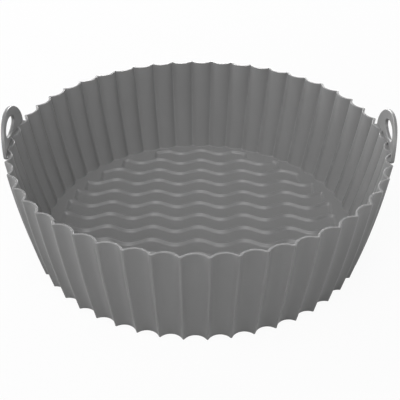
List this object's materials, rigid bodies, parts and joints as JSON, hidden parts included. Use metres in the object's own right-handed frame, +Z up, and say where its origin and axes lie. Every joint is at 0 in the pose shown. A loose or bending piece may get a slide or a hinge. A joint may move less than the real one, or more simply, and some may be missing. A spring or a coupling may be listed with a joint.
{
  "type": "air fryer liner",
  "caption": "Round fluted silicone liner for an air fryer basket, with a wavy ribbed floor and a looped handle on each side.",
  "frame": {"origin": "middle of the flat underside, on the surface that the liner stands on", "axes": "+Z up through the open mouth; the handles stand at +X and -X; the waves of the floor's ridges run along X"},
  "size_m": [0.2016, 0.2002, 0.0726],
  "materials": {
    "silicone": "matte moulded silicone, neutral grey"
  },
  "bodies": {
    "root": {"liner": "silicone"}
  },
  "joints": []
}
